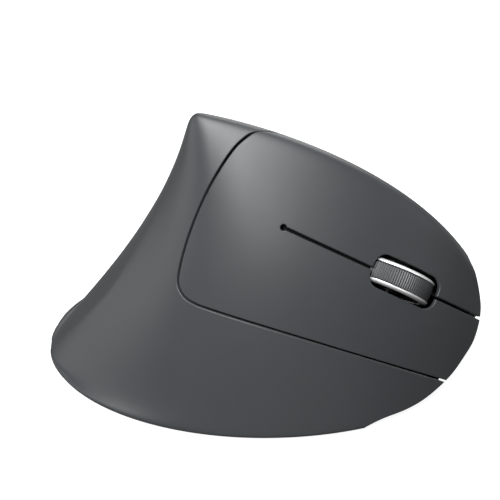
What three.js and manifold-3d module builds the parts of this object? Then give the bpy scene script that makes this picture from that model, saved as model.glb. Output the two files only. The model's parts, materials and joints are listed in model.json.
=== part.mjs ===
// Right-handed vertical computer mouse, wireless. Millimetres, +Z up, +Y forward, +X finger side.
import * as THREE from "three";
import { mergeVertices, toCreasedNormals } from "three/addons/utils/BufferGeometryUtils.js";
import Module from "manifold-3d";

const wasm = await Module();
wasm.setup();

// Body form
const HALF_WIDTH = 38;
const REACH_REAR = 62.9;
const REACH_FRONT = 65;
const UNDERSIDE = 0.8;
const WALL = 2;
const FIT = 0.3;
// Crest as two Bezier curves in (x, y, z), up the rear edge and then along the top
const REAR_EDGE = [[0, -62.8, 1.2], [-3, -57.9, 9.7], [-14, -28.1, 34.8], [-20.5, -20.9, 72]];
const TOP_EDGE = [[-20.5, -20.9, 73], [-14, 5.5, 72.6], [-6.5, 52.6, 58.1], [-4, 66, 17]];
const LAST_STATION = 2;
// How far along the crest its corner is eased, in the rim, face and nose rows of the surface
const EASE_RIM = 0.55;
const EASE_FACE = [0.5, 0.44, 0.34, 0.2];
const EASE_SHOULDER = 0.06;
const EASE_NOSE = 0.03;
// Section shape as fractions of the way from the crest to each rim, mid-body and tail
const FINGER_SIDE = [[0.915, 0.13], [0.74, 0.37], [0.5, 0.645], [0.23, 0.865]];
const FINGER_TAIL = [[0.86, 0.12], [0.66, 0.4], [0.45, 0.72], [0.25, 0.93]];
const THUMB_SIDE = [[0.16, 0.78], [0.1, 0.5], [0.36, 0.27], [0.8, 0.17]];
const THUMB_TAIL = [[0.25, 0.93], [0.45, 0.72], [0.66, 0.4], [0.86, 0.12]];

// Panel plane: p runs forward, q runs up the finger face
const PANEL_TILT = THREE.MathUtils.degToRad(42);
const SLOT_TILT = THREE.MathUtils.degToRad(-24.5);
const SEAM = [[-1.6, 63.3], [-8, 57.9], [-14.2, 48.7], [-18.7, 39.5], [-22.2, 29.9], [-24.2, 21],
  [-23.1, 16.8], [-20.1, 14.2], [-13, 11.6], [15.1, 3], [44, -6], [60, -11.2]];
const FRONT_EDGE = [[20, -26.8], [32.3, -20], [41.2, -16.6], [47.3, -13.2], [53.8, -7.7], [58.2, -2.2],
  [61.8, 3.6], [63.6, 12], [61.9, 21.5], [59.8, 26.3], [58.2, 30.1], [57.2, 38]];
const SEAM_GAP = 0.8;
const SLOT_START = [5.6, 35.4];
const SLOT_DOT_RADIUS = 0.9;
const CREST_LAP = 2.4;
const LAP_GAP = 0.8;
const BEZEL_DEPTH = 3;
const BEZEL_THICKNESS = 2;
const BEZEL_CLEARANCE = 1.5;

// Scroll wheel, in a frame on the finger face: d along the slot, a along the axle, m outward
const WHEEL_AT = [40.2, 20.2];
const WHEEL_RADIUS = 12;
const WHEEL_DEPTH = 8.7;
const WHEEL_OPENING = [22.4, 9.2];
const TYRE_HALF = 2.15;
const RIM_OUT = 3.5;
const SEAT_RADIUS = 9.6;
const AXLE_RADIUS = 1;
const HUB_WINDOWS = 6;
const AXLE_HALF = 6.4;
const PIVOT = [-17, -9.5];
const BOARD_TOP = -13;
const BOARD_THICKNESS = 1.2;

// Click switches on the button board
const SWITCH_SIZE = [12.8, 5.8, 6.5];
const SWITCH_ALONG = -6;
const SWITCH_LEFT = 10.6;
const SWITCH_RIGHT = -12.6;
const PLUNGER_ALONG = -3;
const PLUNGER_RADIUS = 0.9;
const PLUNGER_RISE = 0.5;
const PEG_RADIUS = 1.3;

// Thumb buttons on the left face, as centres in (y, z)
const THUMB_BUTTONS = { back: [1.5, 53.5], forward: [18, 46.8] };
const THUMB_BUTTON_SIZE = [15, 6.5];
const THUMB_BUTTON_TILT = THREE.MathUtils.degToRad(-22);
const THUMB_PROUD = 0.8;
const SIDE_BOARD_X = -5.6;
const STEM_END_X = -10.1;
const BOARD_PEGS = [[-5, 50.3], [8, 43.8]];

// Underside
const FLOOR_TOP = 3;
const SCREWS = { front_right: [27.5, 19], rear_right: [19, -35], front_left: [-24, 22], rear_left: [-24, -24] };
const POST_RADIUS = 3;
const FEET = { front_left: [-19, 36], front_right: [16, 36], rear_left: [-12, -46], rear_right: [13, -45] };
const FOOT_SIZE = [13, 5];
const BATTERY_AT = [-10, 11];
const BATTERY_RADIUS = 7.1;
const BATTERY_SPAN = [-25.5, 25];
const TRAY_SPAN = [-30, 28];
const TRAY_RADIUS = 7.7;
const TRAY_WALL = 1.2;
const DOOR = { x: [-19.1, -0.9], y: [-30.5, 28.1], travel: 4 };
const SENSOR_AT = [12, 2];
const MAIN_BOARD = { x: [0.5, 22], y: [-14, 20], z: 5.2 };
const POWER_AT = [14, -24];
const POWER_TRAVEL = 3;

const v3 = (x, y, z) => new THREE.Vector3(x, y, z);
const v2 = (x, y) => new THREE.Vector2(x, y);

// ---- solids ----

function solid(geometry) {
  const bare = geometry.clone();
  bare.deleteAttribute("normal");
  bare.deleteAttribute("uv");
  const merged = mergeVertices(bare, 1e-4);
  const mesh = new wasm.Mesh({
    numProp: 3,
    vertProperties: new Float32Array(merged.attributes.position.array),
    triVerts: new Uint32Array(merged.index.array),
  });
  return new wasm.Manifold(mesh);
}

// Main piece of a cut, without the crumbs
function mainPiece(shape) {
  const pieces = shape.decompose();
  pieces.sort((first, second) => second.volume() - first.volume());
  return pieces[0].simplify(0.03);
}

function toGeometry(shape) {
  const mesh = shape.getMesh();
  const geometry = new THREE.BufferGeometry();
  geometry.setAttribute("position", new THREE.BufferAttribute(new Float32Array(mesh.vertProperties), 3));
  geometry.setIndex(new THREE.BufferAttribute(new Uint32Array(mesh.triVerts), 1));
  return geometry;
}

function boxAt(x, y, z) {
  const geometry = new THREE.BoxGeometry(x[1] - x[0], y[1] - y[0], z[1] - z[0]);
  geometry.translate((x[0] + x[1]) / 2, (y[0] + y[1]) / 2, (z[0] + z[1]) / 2);
  return geometry;
}

function roundedRect(width, height, radius) {
  const shape = new THREE.Shape();
  const x = width / 2;
  const y = height / 2;
  shape.moveTo(-x + radius, -y);
  shape.lineTo(x - radius, -y);
  shape.absarc(x - radius, -y + radius, radius, -Math.PI / 2, 0);
  shape.lineTo(x, y - radius);
  shape.absarc(x - radius, y - radius, radius, 0, Math.PI / 2);
  shape.lineTo(-x + radius, y);
  shape.absarc(-x + radius, y - radius, radius, Math.PI / 2, Math.PI);
  shape.lineTo(-x, -y + radius);
  shape.absarc(-x + radius, -y + radius, radius, Math.PI, 1.5 * Math.PI);
  return shape;
}

function plate(shape, low, high, curveSegments = 6) {
  const geometry = new THREE.ExtrudeGeometry(shape, { depth: high - low, bevelEnabled: false, curveSegments });
  geometry.translate(0, 0, low);
  return geometry;
}

function rodZ(x, y, low, high, radius, segments = 16) {
  const geometry = new THREE.CylinderGeometry(radius, radius, high - low, segments);
  geometry.rotateX(Math.PI / 2);
  geometry.translate(x, y, (low + high) / 2);
  return geometry;
}

// Rod along the second axis of its frame
function rodY(x, y, z, radius, segments = 20) {
  const geometry = new THREE.CylinderGeometry(radius, radius, y[1] - y[0], segments);
  geometry.translate(x, (y[0] + y[1]) / 2, z);
  return geometry;
}

// ---- outer surface ----

const curveThrough = (points) => new THREE.CubicBezierCurve3(...points.map((point) => v3(...point)));
const rearEdge = curveThrough(REAR_EDGE);
const topEdge = curveThrough(TOP_EDGE);

// Crest; t runs 0 to 1 up the rear edge and 1 to 2 along the top, inset square to it in side view
function crestAt(t, inset) {
  const edge = t < 1 ? rearEdge : topEdge;
  const local = t < 1 ? t : t - 1;
  const point = edge.getPoint(local);
  const step = edge.getPoint(local + 0.001).sub(point);
  const length = Math.hypot(step.y, step.z);
  return point.add(v3(0, inset * step.z / length, -inset * step.y / length));
}

function smooth(low, high, value) {
  const t = Math.min(Math.max((value - low) / (high - low), 0), 1);
  return t * t * (3 - 2 * t);
}

// First value of a rising measure's argument at which it passes a target
function solve(low, high, target, measure) {
  let below = low;
  let above = high;
  for (let i = 0; i < 40; i += 1) {
    const middle = (below + above) / 2;
    if (measure(middle) < target) {
      below = middle;
    } else {
      above = middle;
    }
  }
  return below;
}

const crestX = (y) => crestAt(solve(0, LAST_STATION, y, (t) => crestAt(t, 0).y), 0).x;

function tailBlend(y) {
  return 1 - smooth(-60, -24, y);
}

function halfWidth(y, wall) {
  const reach = (y < 0 ? REACH_REAR : REACH_FRONT) - wall;
  return (HALF_WIDTH - wall) * Math.sqrt(Math.max(1 - (y / reach) ** 2, 0.0006));
}

// Crest pulled in by a wall thickness
function insetCrest(t, wall) {
  const tail = tailBlend(crestAt(t, 0).y);
  const point = crestAt(t, wall * (2.2 - 1.1 * tail));
  point.x += 0.6 * wall * (1 - tail);
  return point;
}

// The same with its corner at t = 1 eased over a reach on each side
function easedCrest(t, wall, ease) {
  if (Math.abs(t - 1) >= ease) {
    return insetCrest(t, wall);
  }
  const step = 0.001;
  const start = insetCrest(1 - ease, wall);
  const end = insetCrest(1 + ease, wall);
  const handle = 2 * ease / 3 / step;
  const leaving = start.clone().sub(insetCrest(1 - ease - step, wall)).multiplyScalar(handle);
  const arriving = insetCrest(1 + ease + step, wall).sub(end).multiplyScalar(handle);
  const curve = new THREE.CubicBezierCurve3(start, start.clone().add(leaving), end.clone().sub(arriving), end);
  return curve.getPoint((t - 1 + ease) / (2 * ease));
}

// What the control points at t are placed from, for a row with its own easing
function station(t, wall, ease) {
  const { x, y, z } = easedCrest(t, wall, ease);
  const top = Math.max(z, UNDERSIDE + 0.2);
  return { x, y, top, height: top - UNDERSIDE, width: halfWidth(y, wall), tail: tailBlend(y) };
}

function rimControls(t, wall) {
  const { y, top, width } = station(t, wall, EASE_RIM);
  const rim = Math.min(1, top / 6) * (wall > 0 ? 0.2 : 1);
  const at = (inward, up) => v3(width - inward * rim, y, UNDERSIDE + up * rim);
  return [at(0.8, 0), at(0, 0.5), at(0.5, 1.6)];
}

function faceControl(t, wall, i, side, tailSide, toRight) {
  const { x, y, height, width, tail } = station(t, wall, EASE_FACE[toRight ? i : 3 - i]);
  const out = THREE.MathUtils.lerp(side[i][0], tailSide[i][0], tail);
  const up = THREE.MathUtils.lerp(side[i][1], tailSide[i][1], tail);
  const rim = toRight ? width : -width;
  return v3(x + out * (rim - x), y, UNDERSIDE + up * height);
}

function shoulderControl(t, wall, sign) {
  const { x, y, top, width, tail } = station(t, wall, EASE_SHOULDER);
  const wide = Math.min(2.4 + 8 * tail * Math.min(1, width / 20), 0.3 * width);
  const reach = Math.min(wide, 0.2 * (width - sign * x));
  return v3(x + sign * reach, y, top - 0.12 * reach);
}

// Control points of one cross-section, right rim over the crest to the left rim
function sectionControls(t, wall) {
  const rows = [0, 1, 2, 3];
  const nose = station(t, wall, EASE_NOSE);
  const [edge, low, high] = rimControls(t, wall);
  const mirrored = [high, low, edge].map((point) => v3(-point.x, point.y, point.z));
  return [
    edge,
    low,
    high,
    ...rows.map((i) => faceControl(t, wall, i, FINGER_SIDE, FINGER_TAIL, true)),
    shoulderControl(t, wall, 1),
    v3(nose.x, nose.y, nose.top),
    shoulderControl(t, wall, -1),
    ...rows.map((i) => faceControl(t, wall, i, THUMB_SIDE, THUMB_TAIL, false)),
    ...mirrored,
  ];
}

// Point on a clamped cubic B-spline through the section, s from 0 to 1
function sectionPoint(section, s) {
  const last = section.length - 1;
  const beyond = (end, next) => end.clone().multiplyScalar(2).sub(next);
  const all = [beyond(section[0], section[1]), ...section, beyond(section[last], section[last - 1])];
  const spans = all.length - 3;
  const u = Math.min(Math.max(s, 0), 1) * spans;
  const i = Math.min(Math.floor(u), spans - 1);
  const f = u - i;
  const basis = [
    (1 - f) ** 3 / 6,
    (3 * f ** 3 - 6 * f ** 2 + 4) / 6,
    (-3 * f ** 3 + 3 * f ** 2 + 3 * f + 1) / 6,
    f ** 3 / 6,
  ];
  const sum = v3(0, 0, 0);
  basis.forEach((weight, k) => sum.addScaledVector(all[i + k], weight));
  return sum;
}

// Solid through a row of closed rings, capped at both ends
function skinRings(rings) {
  const count = rings[0].length;
  const positions = rings.flat().flatMap((point) => point.toArray());
  const centre = (ring) => ring.reduce((sum, point) => sum.add(point), v3(0, 0, 0)).divideScalar(count);
  const firstCentre = rings.length * count;
  positions.push(...centre(rings[0]).toArray(), ...centre(rings[rings.length - 1]).toArray());
  const index = [];
  for (let r = 0; r < rings.length - 1; r += 1) {
    for (let k = 0; k < count; k += 1) {
      const a = r * count + k;
      const b = r * count + (k + 1) % count;
      index.push(a, a + count, b, b, a + count, b + count);
    }
  }
  const top = (rings.length - 1) * count;
  for (let k = 0; k < count; k += 1) {
    const next = (k + 1) % count;
    index.push(firstCentre, k, next, firstCentre + 1, top + next, top + k);
  }
  const geometry = new THREE.BufferGeometry();
  geometry.setAttribute("position", new THREE.Float32BufferAttribute(positions, 3));
  geometry.setIndex(index);
  return geometry;
}

// Stations along the crest; a pulled-in body skips its corner
function stationsFor(wall) {
  const [rearCount, rear, top, topCount] = wall > 0 ? [9, 0.93, 1.06, 10] : [11, 0.95, 1.05, 14];
  const stations = [];
  for (let i = 0; i <= rearCount; i += 1) {
    stations.push(rear * i / rearCount);
  }
  if (wall === 0) {
    stations.push(1);
  }
  for (let i = 0; i <= topCount; i += 1) {
    stations.push(top + (LAST_STATION - top) * i / topCount);
  }
  return stations;
}

// Body solid pulled in by a wall thickness; a pulled-in one runs on below the underside
function bodySolid(wall, around) {
  const rings = stationsFor(wall).map((t) => {
    const section = sectionControls(t, wall);
    const ring = [];
    for (let k = 0; k <= around; k += 1) {
      ring.push(sectionPoint(section, k / around));
    }
    if (wall > 0) {
      const end = ring[around];
      ring.unshift(v3(ring[0].x, ring[0].y, -UNDERSIDE));
      ring.push(v3(end.x, end.y, -UNDERSIDE));
    }
    return ring;
  });
  return solid(skinRings(rings));
}

// Point of the outer finger face above the panel-plane position (p, q)
function facePoint(p, q) {
  const rise = (point) => point.z * Math.cos(PANEL_TILT) - point.x * Math.sin(PANEL_TILT);
  const pointAt = (t) => {
    const section = sectionControls(t, 0);
    return sectionPoint(section, solve(0, 0.5, q, (s) => rise(sectionPoint(section, s))));
  };
  return pointAt(solve(0, LAST_STATION, p, (t) => pointAt(t).y));
}

// Frame standing on the finger face: x along the slot, y up the face, z outward
function faceFrame(p, q) {
  const reach = 1.5;
  const forward = facePoint(p + reach, q).sub(facePoint(p - reach, q));
  const upward = facePoint(p, q + reach).sub(facePoint(p, q - reach));
  const outward = forward.clone().cross(upward).normalize();
  const along = forward.multiplyScalar(Math.cos(SLOT_TILT)).addScaledVector(upward, Math.sin(SLOT_TILT));
  along.addScaledVector(outward, -along.dot(outward)).normalize();
  const across = outward.clone().cross(along);
  return new THREE.Matrix4().makeBasis(along, across, outward).setPosition(facePoint(p, q));
}

// ---- cutters ----

const panelMatrix = new THREE.Matrix4().makeBasis(
  v3(0, 1, 0),
  v3(-Math.sin(PANEL_TILT), 0, Math.cos(PANEL_TILT)),
  v3(Math.cos(PANEL_TILT), 0, Math.sin(PANEL_TILT)),
);
const DEEP = [-70, 90];

function panelPrism(points, matrix = panelMatrix) {
  const geometry = plate(new THREE.Shape(points.map(([x, y]) => v2(x, y))), ...DEEP);
  return solid(geometry.applyMatrix4(matrix));
}

function curvePoints(points, count) {
  const curve = new THREE.SplineCurve(points.map(([x, y]) => v2(x, y)));
  return curve.getSpacedPoints(count).map((point) => [point.x, point.y]);
}

// Closed outline of a line drawn with a given width
function ribbon(points, width) {
  const side = (sign) => points.map(([x, y], i) => {
    const [x0, y0] = points[Math.max(i - 1, 0)];
    const [x1, y1] = points[Math.min(i + 1, points.length - 1)];
    const length = Math.hypot(x1 - x0, y1 - y0);
    return [x - sign * width / 2 * (y1 - y0) / length, y + sign * width / 2 * (x1 - x0) / length];
  });
  return [...side(-1), ...side(1).reverse()];
}

function frontTrim(setback) {
  const edge = curvePoints(FRONT_EDGE, 30).map(([p, q]) => [p - setback, q]);
  return panelPrism([[-90, -60], [edge[0][0], -60], ...edge, [edge[edge.length - 1][0], 90], [-90, 90]]);
}

// Everything on the thumb side of the crest, dropped below it and pulled left of it
function thumbRegion(drop, shift) {
  const outline = [];
  for (let i = 0; i <= 11; i += 1) {
    outline.push(crestAt(0.94 * i / 11, drop));
  }
  for (let i = 0; i <= 14; i += 1) {
    outline.push(crestAt(1.04 + (LAST_STATION - 1.04) * i / 14, drop));
  }
  const last = outline[outline.length - 1];
  const crest = outline.map(({ y, z }) => [y, z]);
  const points = [[outline[0].y - 0.5, -10], ...crest, [90, last.z], [90, -10]];
  const geometry = new THREE.ExtrudeGeometry(new THREE.Shape(points.map(([y, z]) => v2(y, z))), {
    depth: 1,
    bevelEnabled: false,
  });
  const position = geometry.attributes.position;
  for (let i = 0; i < position.count; i += 1) {
    const y = position.getX(i);
    const far = position.getZ(i) > 0.5 ? crestX(y) + shift : -60;
    position.setXYZ(i, far, y, position.getY(i));
  }
  return solid(geometry);
}

// Area bounded by the seam, the crest and the front, in the panel plane
function panelRegion() {
  return panelPrism([...curvePoints(SEAM, 36), [90, -12], [90, 90], [3, 90]]);
}

function slotPoint(along, across) {
  const cos = Math.cos(SLOT_TILT);
  const sin = Math.sin(SLOT_TILT);
  return [SLOT_START[0] + along * cos - across * sin, SLOT_START[1] + along * sin + across * cos];
}

function slotBox(along, across) {
  return panelPrism([
    slotPoint(along[0], across[0]),
    slotPoint(along[1], across[0]),
    slotPoint(along[1], across[1]),
    slotPoint(along[0], across[1]),
  ]);
}

// ---- shared bodies ----

const outerBody = bodySolid(0, 32);
const innerBody = bodySolid(WALL, 20);
const fitBody = bodySolid(WALL + FIT, 20);
const wholeShell = outerBody.subtract(innerBody).intersect(frontTrim(0));
const region = panelRegion();
const seamCut = panelPrism(ribbon(curvePoints(SEAM, 36), SEAM_GAP));
const wheelFrame = faceFrame(...WHEEL_AT);
const dotCut = solid(rodZ(...SLOT_START, ...DEEP, SLOT_DOT_RADIUS, 20).applyMatrix4(panelMatrix));

const inWheelFrame = (geometry) => solid(geometry.applyMatrix4(wheelFrame));

function wheelOpening(extra) {
  const [length, width] = WHEEL_OPENING;
  const shape = roundedRect(length + extra, width + extra, 2.6);
  return inWheelFrame(plate(shape, -12, 12));
}

// ---- enclosure ----

function screwPost([x, y]) {
  const post = solid(rodZ(x, y, FLOOR_TOP + FIT, 40, POST_RADIUS));
  return post.intersect(bodySolid(WALL - 0.6, 20)).subtract(solid(rodZ(x, y, 0, 8.4, 1.15, 12)));
}

function palmShell() {
  const housing = wholeShell.subtract(region).subtract(seamCut).subtract(thumbRegion(CREST_LAP, LAP_GAP));
  return mainPiece(housing).add(screwPost(SCREWS.front_right)).add(screwPost(SCREWS.rear_right));
}

function thumbButtonOutline(extra) {
  const [length, height] = THUMB_BUTTON_SIZE;
  return roundedRect(length + extra, height + extra, 2.4);
}

function thumbPrism([y, z], extra) {
  const geometry = plate(thumbButtonOutline(extra), -45, -12);
  geometry.rotateZ(THUMB_BUTTON_TILT);
  geometry.rotateX(Math.PI / 2);
  geometry.rotateZ(Math.PI / 2);
  geometry.translate(0, y, z);
  return geometry;
}

function rodX(x, [y, z], radius, segments = 14) {
  const geometry = new THREE.CylinderGeometry(radius, radius, x[1] - x[0], segments);
  geometry.rotateZ(Math.PI / 2);
  geometry.translate((x[0] + x[1]) / 2, y, z);
  return solid(geometry);
}

function thumbShell() {
  let housing = wholeShell.intersect(thumbRegion(CREST_LAP + LAP_GAP, -0.4));
  for (const centre of Object.values(THUMB_BUTTONS)) {
    housing = housing.subtract(solid(thumbPrism(centre, 2 * FIT)));
  }
  housing = mainPiece(housing);
  for (const peg of BOARD_PEGS) {
    housing = housing.add(rodX([-40, SIDE_BOARD_X - 0.1], peg, 1.4).intersect(bodySolid(WALL - 0.6, 20)));
  }
  return housing.add(screwPost(SCREWS.front_left)).add(screwPost(SCREWS.rear_left));
}

function frontBezel() {
  const underButtons = region.subtract(bodySolid(WALL + BEZEL_CLEARANCE, 20));
  const wall = fitBody.intersect(frontTrim(BEZEL_DEPTH)).subtract(frontTrim(BEZEL_DEPTH + BEZEL_THICKNESS));
  return mainPiece(wall.subtract(underButtons).intersect(solid(boxAt([-60, 60], [20, 80], [UNDERSIDE, 90]))));
}

function openPanel() {
  const panel = wholeShell.intersect(region).subtract(seamCut).subtract(thumbRegion(CREST_LAP, LAP_GAP));
  return panel.subtract(dotCut);
}

const panelSkin = openPanel();

function buttonPanel() {
  return mainPiece(panelSkin.intersect(slotBox([-90, -0.15], [-90, 90])));
}

const switchAcross = (side) => (side > 0 ? SWITCH_LEFT : SWITCH_RIGHT);

function clickPeg(side) {
  const tip = BOARD_TOP + SWITCH_SIZE[2] + PLUNGER_RISE + FIT;
  const peg = inWheelFrame(rodZ(PLUNGER_ALONG, switchAcross(side), tip, 2, PEG_RADIUS, 14));
  return peg.intersect(bodySolid(WALL / 2, 20));
}

function clickButton(side) {
  const across = side > 0 ? [SEAM_GAP / 2, 90] : [-90, -SEAM_GAP / 2];
  const skin = panelSkin.intersect(slotBox([0.15, 120], across)).subtract(wheelOpening(0));
  return mainPiece(skin).add(clickPeg(side));
}

function thumbButton(centre) {
  const skin = bodySolid(-THUMB_PROUD, 32).subtract(innerBody).intersect(solid(thumbPrism(centre, 0)));
  const stem = rodX([-40, STEM_END_X], centre, 1.6).intersect(bodySolid(WALL - 0.6, 20));
  return mainPiece(skin).add(stem);
}

// ---- underside ----

function capsule(length, width) {
  return roundedRect(length, width, width / 2 - 0.2);
}

function basePlate() {
  let base = fitBody.intersect(frontTrim(BEZEL_DEPTH + BEZEL_THICKNESS + FIT));
  base = base.intersect(solid(boxAt([-60, 60], [-80, 80], [UNDERSIDE, FLOOR_TOP])));
  const standoffs = [[3, -11], [19.5, -11], [3, 17], [19.5, 17]];
  for (const [x, y] of standoffs) {
    base = base.add(solid(rodZ(x, y, FLOOR_TOP - 0.5, MAIN_BOARD.z - 0.1, 1.5, 10)));
  }
  const slack = FIT;
  base = base.subtract(solid(boxAt(
    [DOOR.x[0] - slack, DOOR.x[1] + slack],
    [DOOR.y[0] - DOOR.travel - slack, DOOR.y[1] + slack],
    [0, 2.1],
  )));
  base = base.subtract(solid(boxAt([-17.6, -2.4], [-31, 24], [0, 9])));
  for (const [x, y] of Object.values(SCREWS)) {
    base = base.subtract(solid(rodZ(x, y, 0, 9, 1.3, 12)));
    base = base.subtract(solid(rodZ(x, y, 0, 2.1, 2.3)));
  }
  for (const [x, y] of Object.values(FEET)) {
    const recess = plate(capsule(FOOT_SIZE[0] + 0.4, FOOT_SIZE[1] + 0.4), 0, 1.15, 4);
    base = base.subtract(solid(recess.translate(x, y, 0)));
  }
  base = base.subtract(solid(plate(roundedRect(9, 7, 1.5), 0, 9).translate(...SENSOR_AT, 0)));
  base = base.subtract(solid(plate(roundedRect(3.4, 7.4, 0.5), 0, 9).translate(...POWER_AT, 0)));
  return mainPiece(base);
}

function batteryDoor() {
  const door = solid(boxAt(DOOR.x, DOOR.y, [0.9, 2]));
  let grips = door;
  for (let i = 0; i < 4; i += 1) {
    const y = DOOR.y[0] + 4 + 2 * i;
    grips = grips.subtract(solid(boxAt([-14, -6], [y, y + 0.9], [0, 1.3])));
  }
  return grips;
}

function foot([x, y]) {
  return plate(capsule(...FOOT_SIZE), 0, 1.05, 4).translate(x, y, 0);
}

function screw([x, y]) {
  const profile = [v2(0, 1), v2(1.7, 1), v2(1.9, 1.3), v2(1.9, 1.9), v2(0.95, 1.95), v2(0.95, 7.2), v2(0, 8)];
  const body = new THREE.LatheGeometry(profile, 10).rotateX(Math.PI / 2);
  let shape = solid(body);
  shape = shape.subtract(solid(boxAt([-1.1, 1.1], [-0.22, 0.22], [0, 1.5])));
  shape = shape.subtract(solid(boxAt([-0.22, 0.22], [-1.1, 1.1], [0, 1.5])));
  return shape.translate([x, y, 0]);
}

// ---- scroll wheel ----

function wheelLathe(profile, segments = 36) {
  const points = profile.map(([r, y]) => v2(r, y));
  const geometry = new THREE.LatheGeometry([...points, points[0]], segments);
  return geometry.translate(0, 0, -WHEEL_DEPTH);
}

function wheelHub() {
  const bore = AXLE_RADIUS + 0.15;
  let hub = solid(wheelLathe([
    [bore, -3.6], [2.6, -3.6], [2.6, -0.8], [8, -0.8], [8.2, -3.4], [SEAT_RADIUS, -3.4],
    [SEAT_RADIUS, 3.4], [8.2, 3.4], [8, 0.8], [2.6, 0.8], [2.6, 3.6], [bore, 3.6],
  ], 28));
  for (let i = 0; i < HUB_WINDOWS; i += 1) {
    const angle = 2 * Math.PI * i / HUB_WINDOWS;
    const window = rodY(5.3 * Math.cos(angle), [-2, 2], 5.3 * Math.sin(angle) - WHEEL_DEPTH, 1.5, 6);
    hub = hub.subtract(solid(window));
  }
  return hub;
}

function wheelTyre() {
  const inside = SEAT_RADIUS + 0.15;
  return wheelLathe([
    [inside, -TYRE_HALF], [WHEEL_RADIUS - 0.35, -TYRE_HALF], [WHEEL_RADIUS - 0.06, -1.3],
    [WHEEL_RADIUS, 0], [WHEEL_RADIUS - 0.06, 1.3], [WHEEL_RADIUS - 0.35, TYRE_HALF], [inside, TYRE_HALF],
  ]);
}

function wheelRim(side) {
  const inside = SEAT_RADIUS + 0.15;
  const profile = [
    [inside, TYRE_HALF + 0.15], [WHEEL_RADIUS - 0.25, TYRE_HALF + 0.15], [WHEEL_RADIUS - 0.3, 2.7],
    [WHEEL_RADIUS - 0.7, 3.2], [WHEEL_RADIUS - 1.3, RIM_OUT], [inside, RIM_OUT],
  ].map(([r, y]) => [r, side * y]);
  return wheelLathe(side > 0 ? profile : profile.reverse());
}

function wheelCradle() {
  const arm = new THREE.Shape();
  arm.moveTo(PIVOT[0] - 2.2, -11.4);
  arm.lineTo(2.4, -11.2);
  arm.lineTo(2.4, -6.6);
  arm.lineTo(-2.4, -6.6);
  arm.lineTo(-4, -8.4);
  arm.lineTo(PIVOT[0] - 2.2, -7.4);
  const across = (low, high) => {
    const geometry = plate(arm, -high, -low);
    return geometry.rotateX(Math.PI / 2);
  };
  let cradle = solid(across(4.3, 5.6)).add(solid(across(-5.6, -4.3)));
  cradle = cradle.add(solid(boxAt([PIVOT[0] - 2.2, -13.4], [-5, 5], [-11.3, -7.8])));
  cradle = cradle.add(solid(boxAt([-6, -1], [-9.2, -5], [-9.6, -8.6])));
  cradle = cradle.subtract(solid(rodY(0, [-9, 9], -WHEEL_DEPTH, AXLE_RADIUS + 0.15)));
  cradle = cradle.subtract(solid(rodY(PIVOT[0], [-9, 9], PIVOT[1], AXLE_RADIUS + 0.15)));
  return cradle;
}

function detentSpring() {
  const path = new THREE.CatmullRomCurve3([
    v3(12.6, 6.4, BOARD_TOP + 0.1), v3(12.6, 6.2, -11.6), v3(11.4, 5, -10.4), v3(9.2, 3.95, -9.4),
  ]);
  const wire = new THREE.Shape().absarc(0, 0, 0.22, 0, 2 * Math.PI);
  return new THREE.ExtrudeGeometry(wire, { extrudePath: path, steps: 8, bevelEnabled: false, curveSegments: 3 });
}

// ---- boards and switches ----

function buttonBoard() {
  const low = BOARD_TOP - BOARD_THICKNESS;
  let board = solid(boxAt([-14, 13.5], [-17.2, 17.2], [low, BOARD_TOP]));
  board = board.subtract(solid(boxAt([-12.6, 12.6], [-4.1, 4.1], [-20, 0])));
  return mainPiece(board.transform(wheelFrame.elements).intersect(bodySolid(WALL + 0.7, 20)));
}

function boardBracket() {
  const top = BOARD_TOP - BOARD_THICKNESS - 0.2;
  let bracket = solid(boxAt([-20, 10], [-9.6, 9.6], [top - 2, top]));
  bracket = bracket.subtract(solid(boxAt([-13, 12], [-4.6, 4.6], [-30, 0])));
  for (const side of [-1, 1]) {
    const ear = [6.1, 8.1].map((value) => value * side).sort((a, b) => a - b);
    bracket = bracket.add(solid(boxAt([-20, -14.4], ear, [top - 1, -7.4])));
  }
  bracket = bracket.subtract(solid(rodY(PIVOT[0], [-9, 9], PIVOT[1], AXLE_RADIUS + 0.15)));
  bracket = bracket.transform(wheelFrame.elements);
  const under = solid(boxAt([-60, 60], [-60, 60], [-90, top - 0.5])).transform(wheelFrame.elements);
  const columns = [[[12, 16], [22, 26]], [[-8.5, -5.5], [42, 45]]];
  for (const [x, y] of columns) {
    bracket = bracket.add(solid(boxAt(x, y, [FLOOR_TOP + 0.1, 40])).intersect(under));
  }
  return mainPiece(bracket.intersect(bodySolid(WALL + 0.7, 20)));
}

function clickSwitch(side) {
  const [length, width, height] = SWITCH_SIZE;
  const a = switchAcross(side);
  const body = boxAt(
    [SWITCH_ALONG - length / 2, SWITCH_ALONG + length / 2],
    [a - width / 2, a + width / 2],
    [BOARD_TOP + 0.1, BOARD_TOP + height],
  );
  const well = rodZ(PLUNGER_ALONG, a, BOARD_TOP + height - 1.8, 0, PLUNGER_RADIUS + 0.2, 12);
  return solid(body).subtract(solid(well)).transform(wheelFrame.elements);
}

function clickPlunger(side) {
  const top = BOARD_TOP + SWITCH_SIZE[2];
  return rodZ(PLUNGER_ALONG, switchAcross(side), top - 1.2, top + PLUNGER_RISE, PLUNGER_RADIUS, 12);
}

const MIDDLE_AT = [-3.5, -7.6];

function middleSwitch() {
  const [d, a] = MIDDLE_AT;
  const body = boxAt([d - 2.6, d + 2.6], [a - 1.7, a + 1.7], [BOARD_TOP + 0.1, -10.4]);
  return solid(body).subtract(solid(rodZ(d, a, -11.4, 0, 1.1, 12)));
}

function middlePlunger() {
  return rodZ(...MIDDLE_AT, -10.95, -9.8, PLUNGER_RADIUS, 12);
}

function sideBoard() {
  const board = solid(boxAt([SIDE_BOARD_X, SIDE_BOARD_X + BOARD_THICKNESS], [-8, 20], [42.4, 60]));
  return mainPiece(board.intersect(bodySolid(WALL + 0.7, 20)));
}

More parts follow.
